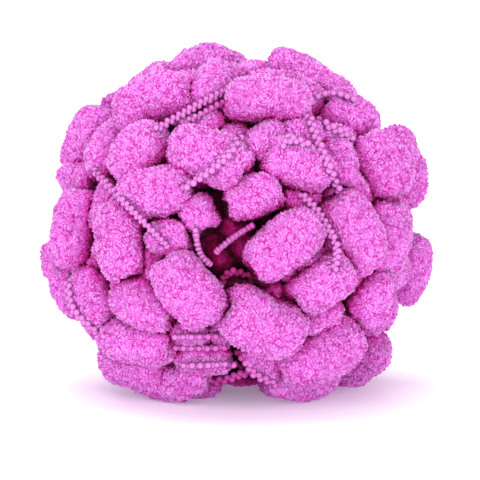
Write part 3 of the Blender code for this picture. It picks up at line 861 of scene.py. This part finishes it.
def threadMaterial():
    material, tree, shader = newMaterial("twistedPolyesterThread", {
        "Roughness": thread["roughness"],
        "Specular IOR Level": thread["specular"],
        "Sheen Weight": thread["sheen"],
        "Sheen Tint": toLinear(pile["sheenTint"]),
    })
    # how far a bead's surface faces out of the ball, from the normal and the run's own way out; the bead is
    # painted light where it faces out and painted shade at its sides
    normal = addNode(tree, "ShaderNodeNewGeometry").outputs["Normal"]
    outward = addNode(tree, "ShaderNodeAttribute", {"attribute_name": "outward"}).outputs["Vector"]
    facing = addNode(tree, "ShaderNodeVectorMath", {"operation": "DOT_PRODUCT", 0: normal, 1: outward})
    paintedShadeStops = tuple(zip(thread["paintedShadeAt"], (thread["side"], thread["light"])))
    coloured = addNode(tree, "ShaderNodeValToRGB", {"Fac": facing.outputs["Value"], "stops": paintedShadeStops})
    # painted shade in the hollows, as on the pile
    openHere = addNode(tree, "ShaderNodeAttribute", {"attribute_name": "open"}).outputs["Fac"]
    depth = addNode(tree, "ShaderNodeValToRGB", {"Fac": openHere, "stops": pile["paintedHollowShade"]})
    mixed = addNode(tree, "ShaderNodeMix", {
        "data_type": "RGBA", "blend_type": "MULTIPLY", 0: 1.0, 6: coloured, 7: depth})
    tree.links.new(mixed.outputs[2], shader.inputs["Base Color"])
    place = addNode(tree, "ShaderNodeTexCoord").outputs["Object"]
    fuzz = addNode(tree, "ShaderNodeTexNoise", {
        "Vector": place, "Scale": 1 / (thread["fuzz"] * mm), "Detail": 3.0})
    bump = addNode(tree, "ShaderNodeBump", {
        "Strength": thread["fuzzBump"], "Distance": thread["fuzzDepth"] * mm, "Height": fuzz})
    tree.links.new(bump.outputs["Normal"], shader.inputs["Normal"])
    return material


def threadTree():    # beads to the left and right of each run, round a thin heart
    tree, names, given = geometryTree("threadBeads", {
        "Bead Width": thread["beadWidth"] * mm,
        "Bead Offset": thread["beadOffset"] * mm,
        "Heart Radius": thread["heart"] * mm,
        "Twist": thread["twist"] / mm,
        "Floor": 0.0,
    }, thread["seed"])
    outward, roll, loose = [
        addNode(tree, "GeometryNodeInputNamedAttribute", {"data_type": kind, "Name": label})
        for label, kind in (("outward", "FLOAT_VECTOR"), ("roll", "FLOAT"), ("loose", "FLOAT"))]
    lines = addNode(tree, "GeometryNodeMeshToCurve", {"Mesh": given["Geometry"]})
    tangent = addNode(tree, "GeometryNodeInputTangent")
    across = addNode(tree, "ShaderNodeVectorMath", {"operation": "CROSS_PRODUCT", 0: tangent, 1: outward})
    lateral = addNode(tree, "ShaderNodeVectorMath", {"operation": "NORMALIZE", 0: across})
    index = addNode(tree, "GeometryNodeInputIndex")
    parity = addNode(tree, "ShaderNodeMath", {"operation": "MODULO", 0: index, 1: 2.0})
    side = addNode(tree, "ShaderNodeMath", {"operation": "MULTIPLY_ADD", 0: parity, 1: 2.0, 2: -1.0})
    walked = addNode(tree, "GeometryNodeSplineParameter").outputs["Length"]
    angle = addNode(tree, "ShaderNodeMath", {
        "operation": "MULTIPLY_ADD", 0: walked, 1: given["Twist"], 2: roll})
    swung = addNode(tree, "ShaderNodeVectorRotate", {
        "rotation_type": "AXIS_ANGLE", "Vector": lateral, "Axis": tangent, "Angle": angle})
    apart = addNode(tree, "ShaderNodeMath", {"operation": "MULTIPLY", 0: loose, 1: given["Bead Offset"]})
    far = addNode(tree, "ShaderNodeMath", {"operation": "MULTIPLY", 0: side, 1: apart})
    offset = addNode(tree, "ShaderNodeVectorMath", {"operation": "SCALE", 0: swung, "Scale": far})
    moved = addNode(tree, "GeometryNodeSetPosition", {"Geometry": lines, "Offset": offset})
    points = addNode(tree, "GeometryNodeCurveToPoints", {"mode": "EVALUATED", "Curve": moved})
    bead = addNode(tree, "GeometryNodeMeshUVSphere", {
        "Radius": 0.5, "Segments": thread["beadSides"], "Rings": thread["beadRings"]})
    size = addNode(tree, "FunctionNodeRandomValue", {
        "data_type": "FLOAT", 2: thread["beadSizes"][0], 3: thread["beadSizes"][1],
        "Seed": given["Seed"]}).outputs[1]
    wide = addNode(tree, "ShaderNodeMath", {"operation": "MULTIPLY", 0: size, 1: given["Bead Width"]})
    thick = addNode(tree, "ShaderNodeMath", {"operation": "MULTIPLY", 0: wide, 1: loose})
    bulk = addNode(tree, "ShaderNodeCombineXYZ", {0: wide, 1: wide, 2: thick})
    placed = addNode(tree, "GeometryNodeInstanceOnPoints", {
        "Points": points, "Instance": bead, "Rotation": points.outputs["Rotation"], "Scale": bulk})
    ring = addNode(tree, "GeometryNodeCurvePrimitiveCircle", {
        "Resolution": thread["heartSides"], "Radius": given["Heart Radius"]})
    heart = addNode(tree, "GeometryNodeCurveToMesh", {
        "Fill Caps": True, "Curve": lines, "Profile Curve": ring})
    finishTree(tree, given, [placed, heart])
    return tree, names


def threadLines(runs):    # all the runs as edges, each point with its way out of the ball
    mesh = bpy.data.meshes.new("threadLines")
    points, edges, ways, rolls, looseness, openHere = [], [], [], [], [], []
    for roll, loose, run in runs:
        first = len(points)
        looseness += [float(loose)] * len(run)
        points += [(p + toRow.translation) * mm for p, _ in run]
        ways += [way for _, way in run]
        openHere += [openAt(p, way, surfaceTree) for p, way in run]
        rolls += [math.radians(roll)] * len(run)
        edges += [(first + k, first + k + 1) for k in range(len(run) - 1)]
    mesh.from_pydata(points, edges, [])
    flat = [value for way in ways for value in way]
    mesh.attributes.new("outward", "FLOAT_VECTOR", "POINT").data.foreach_set("vector", flat)
    for label, values in (("roll", rolls), ("loose", looseness), ("open", openHere)):
        mesh.attributes.new(label, "FLOAT", "POINT").data.foreach_set("value", values)
    return mesh


runs = frontRuns(surfaceTree) + ruleRuns(others, surfaceTree)
beadTree, beadInputs = threadTree()
lines = linkedObject("threadLines", threadLines(runs))
strung = lines.modifiers.new("beads", "NODES")
strung.node_group = beadTree
strung[beadInputs["Material"]] = threadMaterial()
threadPiece = meshOfModifiers(lines, "binder_thread")
print("binder_thread", len(runs), "runs,", len(threadPiece.data.polygons), "faces")


# the wound heart of the ball, seen only between the pompoms
heart = {
    "sides": 72,
    "rings": 48,
    "ridge": 1.6,
    "ridgeSize": 7.0,
    "dent": 0.8,              # share of the depth of the open middle
    "foot": 6.0,              # its lowest place above the surface that the ball rests on
}


def coreMesh():
    bm = bmesh.new()
    bmesh.ops.create_uvsphere(bm, u_segments=heart["sides"], v_segments=heart["rings"], radius=1)
    across, up, width = ball["openMiddle"]
    depth = math.sqrt(ball["shellRadius"] ** 2 - across ** 2 - up ** 2)
    dent = across * acrossWay + up * upWay + depth * outWay
    for vert in bm.verts:
        way = vert.co.normalized()
        swell = noise.noise(way * ball["coreRadius"] / heart["ridgeSize"]) * heart["ridge"]
        spot = way * (ball["coreRadius"] + swell)
        near = math.exp(-((spot - dent).length / width) ** 2)
        spot -= way * near * ball["coreDent"] * heart["dent"]
        spot.z = max(spot.z, -ball["middleHeight"] + heart["foot"])
        vert.co = (spot + toRow.translation) * mm
    mesh = bpy.data.meshes.new("wound_heart")
    bm.to_mesh(mesh)
    bm.free()
    mesh.shade_smooth()
    # the heart has no open or lock height values, so the pile's colour on it is the darkest painted shade of
    # the hollows and of the roots
    mesh.materials.append(chenille)
    return mesh


core = linkedObject("wound_heart", coreMesh())
print("wound_heart made")

for piece in [*pilePieces, threadPiece, core]:
    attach(piece, "root")
    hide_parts("yarn_ball")


# a sheet of white paper in an even white light, a little stronger from the front and above
studio = {
    "floor": "#fcf8fc",
    "floorRoughness": 0.9,
    "floorSpecular": 0.1,
    "floorGlow": "#e8c4f0",   # the paper lies on a light table
    "floorGlowPower": 0.3,
    "floorSize": 2.4,
    "sky": 1.75,
    "skyBand": (0.12, 0.45),  # the sky dims between these heights above the horizon
    "skyAbove": 0.55,
    "lights": {               # watts, metres across, place
        "window": (15.0, 2.0, (-0.5, -1.7, 1.2)),
        "skylight": (22.0, 1.6, (-0.2, 0.4, 1.7)),
        "reflector": (13.0, 1.2, (0.2, -1.8, 0.2)),
    },
    "sensor": 36,             # millimetres
    "nearest": 0.05,
    "distance": 1.6,
    "frameWidth": 0.1824,     # metres across the picture at the ball's middle
    "aim": (1.5, -0.8),       # millimetres across and up from the ball's middle
}


def addFloor():
    bm = bmesh.new()
    bmesh.ops.create_grid(bm, x_segments=1, y_segments=1, size=studio["floorSize"] / 2)
    mesh = bpy.data.meshes.new("studio_floor")
    bm.to_mesh(mesh)
    bm.free()
    mesh.materials.append(newMaterial("mattWhitePaper", {
        "Base Color": toLinear(studio["floor"]),
        "Roughness": studio["floorRoughness"],
        "Specular IOR Level": studio["floorSpecular"],
        "Emission Color": toLinear(studio["floorGlow"]),
        "Emission Strength": studio["floorGlowPower"],
    })[0])
    floor = linkedObject("studio_floor", mesh)


def addLight(name, power, size, place):
    light = bpy.data.lights.new(name, "AREA")
    light.energy = power
    light.shape = "DISK"
    light.size = size
    holder = bpy.data.objects.new(name, light)
    holder.location = place
    aim = Vector((0, 0, ball["middleHeight"] * mm)) - holder.location
    holder.rotation_euler = aim.to_track_quat("-Z", "Y").to_euler()
    bpy.context.scene.collection.objects.link(holder)


def addCamera():
    camera = bpy.data.cameras.new("camera")
    camera.sensor_width = studio["sensor"]
    camera.lens = camera.sensor_width * studio["distance"] / studio["frameWidth"]
    camera.clip_start = studio["nearest"]
    holder = bpy.data.objects.new("camera", camera)
    across, up = studio["aim"]
    aim = (toRow.translation + across * acrossWay + up * upWay) * mm
    holder.location = aim + outWay * studio["distance"]
    holder.rotation_euler = outWay.to_track_quat("Z", "Y").to_euler()
    bpy.context.scene.collection.objects.link(holder)
    bpy.context.scene.camera = holder


def setWorld():
    world = bpy.data.worlds.new("daylight")
    world.use_nodes = True
    tree = world.node_tree
    sky = tree.nodes["Background"]
    sky.inputs["Color"].default_value = (1, 1, 1, 1)
    way = addNode(tree, "ShaderNodeTexCoord").outputs["Generated"]
    height = addNode(tree, "ShaderNodeSeparateXYZ", {0: way}).outputs["Z"]
    low, high = studio["skyBand"]
    glow = addNode(tree, "ShaderNodeMapRange", {
        "interpolation_type": "SMOOTHSTEP", 0: height, 1: low, 2: high,
        3: studio["sky"], 4: studio["skyAbove"]})
    tree.links.new(glow.outputs[0], sky.inputs["Strength"])
    bpy.context.scene.world = world
    bpy.context.scene.view_settings.view_transform = "Standard"


addFloor()
for name, (power, size, place) in studio["lights"].items():
    addLight(name, power, size, place)
addCamera()
setWorld()
print("studio ready")
